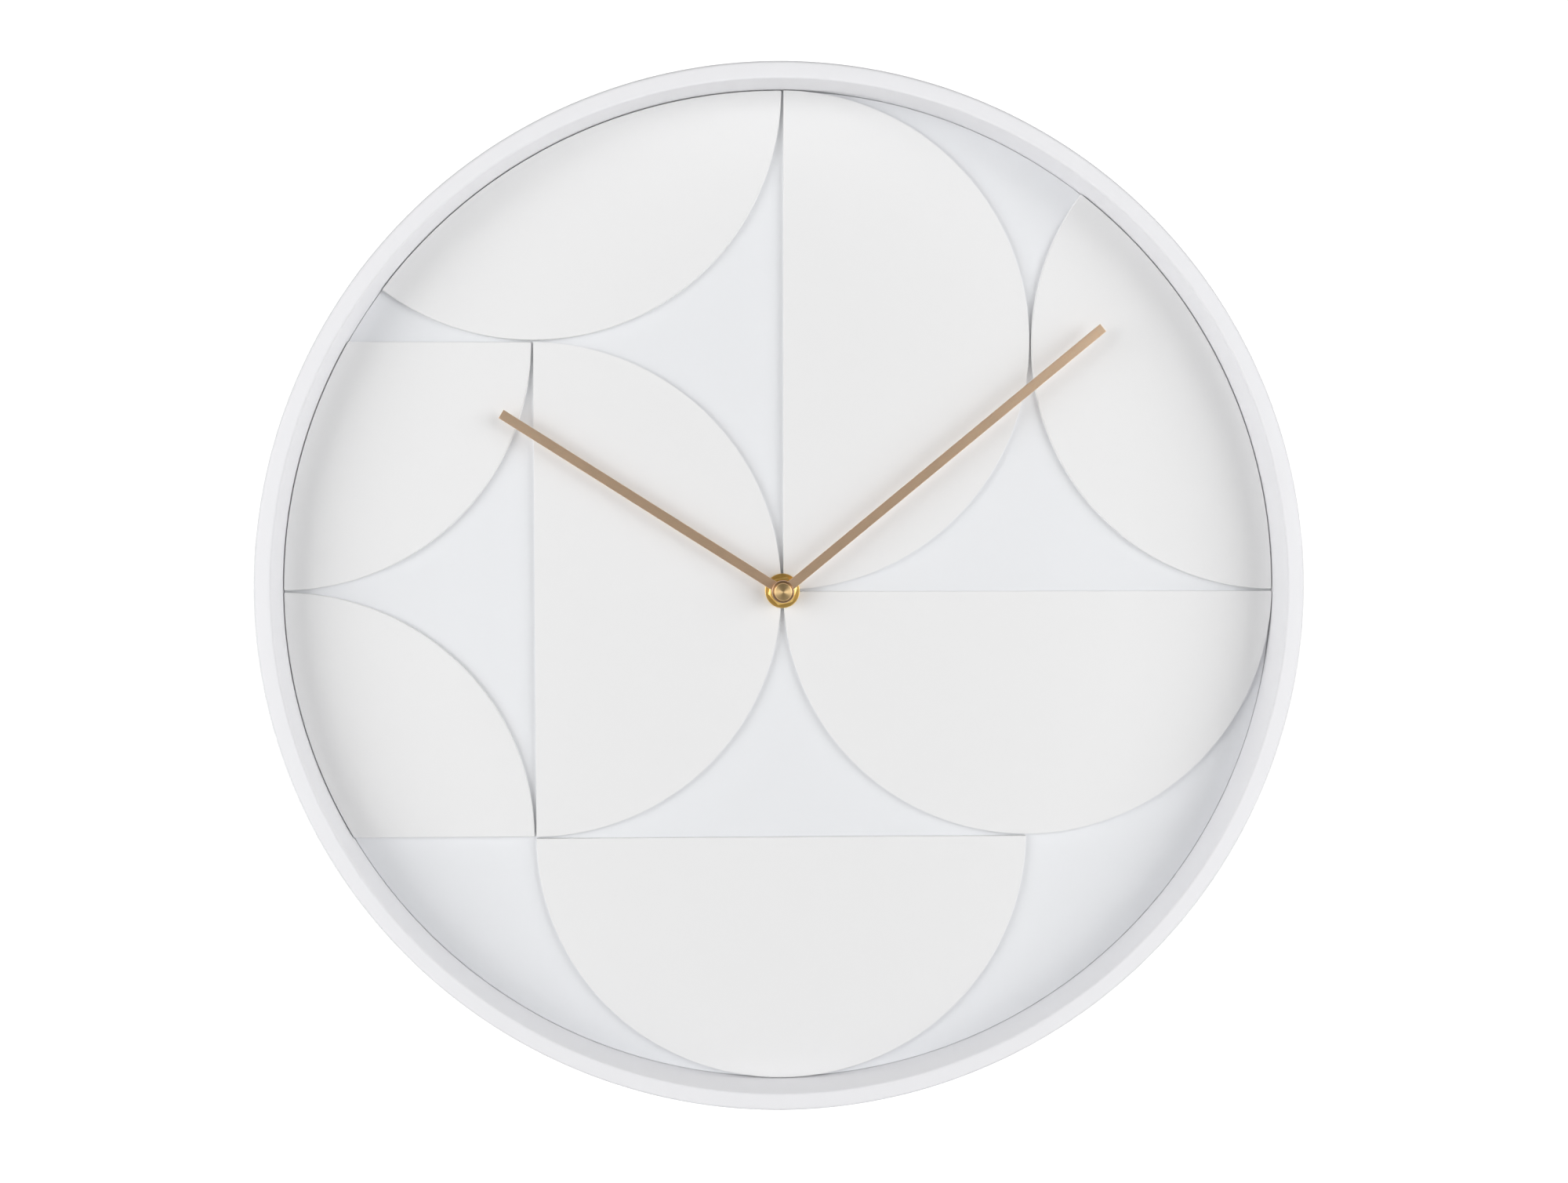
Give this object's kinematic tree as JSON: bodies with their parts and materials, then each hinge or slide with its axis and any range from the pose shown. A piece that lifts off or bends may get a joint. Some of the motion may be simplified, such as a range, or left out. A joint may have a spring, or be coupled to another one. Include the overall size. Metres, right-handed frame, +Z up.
{
  "type": "wall clock",
  "caption": "Round battery wall clock: a deep rim round a recessed relief dial of raised half discs, two straight hands on a nut-fixed quartz movement, and a back cover with a keyhole hanger.",
  "frame": {"origin": "centre of the plane at the back of the rim, which rests on the wall", "axes": "+Z up to twelve o'clock, +X to three o'clock, +Y into the wall; the dial faces -Y"},
  "size_m": [0.4, 0.045, 0.4],
  "materials": {
    "white_case": "satin moulded white",
    "white_tile": "matt white, soft edges",
    "white_dial": "matt cool white",
    "white_cover": "fine textured white",
    "rose_aluminium": "brushed, rose-gold anodised",
    "gold_brass": "polished",
    "black_plastic": "matt black moulding",
    "gear_plastic": "natural acetal",
    "gear_white": "white acetal",
    "black_rubber": "soft rubber",
    "zinc_steel": "zinc plated",
    "spring_steel": "bright spring steel",
    "soft_iron": "pressed soft iron",
    "magnet": "sintered magnet",
    "copper_wire": "enamelled copper wire",
    "board_green": "solder mask",
    "black_epoxy": "epoxy",
    "battery_jacket": "plain printed jacket"
  },
  "bodies": {
    "clock_case": {"back_cover": "white_cover", "battery_contact_minus": "spring_steel", "battery_contact_plus": "spring_steel", "board_screws": "zinc_steel", "case_ring": "white_case", "circuit_board": "board_green", "clock_chip": "black_epoxy", "coil_bobbin": "gear_white", "coil_core": "soft_iron", "coil_winding": "copper_wire", "cover_screws": "zinc_steel", "dial_nut": "gold_brass", "dial_plate": "white_dial", "dial_screws": "zinc_steel", "dial_washer": "gold_brass", "gear_plate": "gear_white", "hanger_screws": "zinc_steel", "keyhole_hanger": "zinc_steel", "movement_front_case": "black_plastic", "movement_gasket": "black_rubber", "movement_rear_case": "black_plastic", "quartz_crystal": "spring_steel", "stator": "soft_iron", "threaded_bush": "gold_brass", "tile_centre_left": "white_tile", "tile_centre_right": "white_tile", "tile_left_lower": "white_tile", "tile_left_upper": "white_tile", "tile_lower_centre": "white_tile", "tile_upper_centre": "white_tile", "tile_upper_left": "white_tile", "tile_upper_right": "white_tile"},
    "minute_hand_body": {"minute_hand": "rose_aluminium", "minute_hand_collet": "gold_brass", "hand_cap": "gold_brass", "minute_pipe": "gear_white", "clutch_spring": "spring_steel"},
    "hour_hand_body": {"hour_hand": "rose_aluminium", "hour_hand_collet": "gold_brass", "hour_wheel": "gear_plastic"},
    "setting_knob_body": {"motion_wheel": "gear_white", "setting_knob": "gear_white"},
    "centre_wheel_body": {"centre_wheel": "gear_plastic"},
    "third_wheel_body": {"third_wheel": "gear_white"},
    "seconds_wheel_body": {"seconds_wheel": "gear_plastic"},
    "fifth_wheel_body": {"fifth_wheel": "gear_white"},
    "rotor_body": {"rotor_pinion": "gear_white", "rotor_magnet": "magnet"},
    "battery_body": {"battery": "battery_jacket"}
  },
  "joints": [
    {"name": "minute_hand_turn", "type": "hinge", "parent": "clock_case", "child": "minute_hand_body", "pos_m": [0, -0.034, 0], "axis": [0, 1, 0], "continuous": true},
    {"name": "hour_hand_turn", "type": "hinge", "parent": "clock_case", "child": "hour_hand_body", "pos_m": [0, -0.031, 0], "axis": [0, 1, 0], "continuous": true},
    {"name": "setting_knob_turn", "type": "hinge", "parent": "clock_case", "child": "setting_knob_body", "pos_m": [-0.01064, -0.0035, 0.00188], "axis": [0, 1, 0], "continuous": true},
    {"name": "seconds_wheel_turn", "type": "hinge", "parent": "clock_case", "child": "seconds_wheel_body", "pos_m": [0, -0.0105, 0], "axis": [0, 1, 0], "continuous": true},
    {"name": "centre_wheel_turn", "type": "hinge", "parent": "clock_case", "child": "centre_wheel_body", "pos_m": [0, -0.0153, 0], "axis": [0, 1, 0], "continuous": true},
    {"name": "third_wheel_turn", "type": "hinge", "parent": "clock_case", "child": "third_wheel_body", "pos_m": [0.00504, -0.0137, 0.00873], "axis": [0, 1, 0], "continuous": true},
    {"name": "fifth_wheel_turn", "type": "hinge", "parent": "clock_case", "child": "fifth_wheel_body", "pos_m": [0.00897, -0.0089, 0.00078], "axis": [0, 1, 0], "continuous": true},
    {"name": "rotor_turn", "type": "hinge", "parent": "clock_case", "child": "rotor_body", "pos_m": [0.01433, -0.0104, 0.00528], "axis": [0, 1, 0], "continuous": true},
    {"name": "battery_slide", "type": "slide", "parent": "clock_case", "child": "battery_body", "axis": [0, 1, 0], "range_m": [0, 0.03]}
  ],
  "couplings": [
    {"joint": "hour_hand_turn", "follows": "minute_hand_turn", "ratio": 0.083333},
    {"joint": "setting_knob_turn", "follows": "minute_hand_turn", "ratio": -0.33333},
    {"joint": "centre_wheel_turn", "follows": "rotor_turn", "ratio": 0.00055556},
    {"joint": "third_wheel_turn", "follows": "rotor_turn", "ratio": -0.0044444},
    {"joint": "seconds_wheel_turn", "follows": "rotor_turn", "ratio": 0.033333},
    {"joint": "fifth_wheel_turn", "follows": "rotor_turn", "ratio": -0.16667}
  ]
}
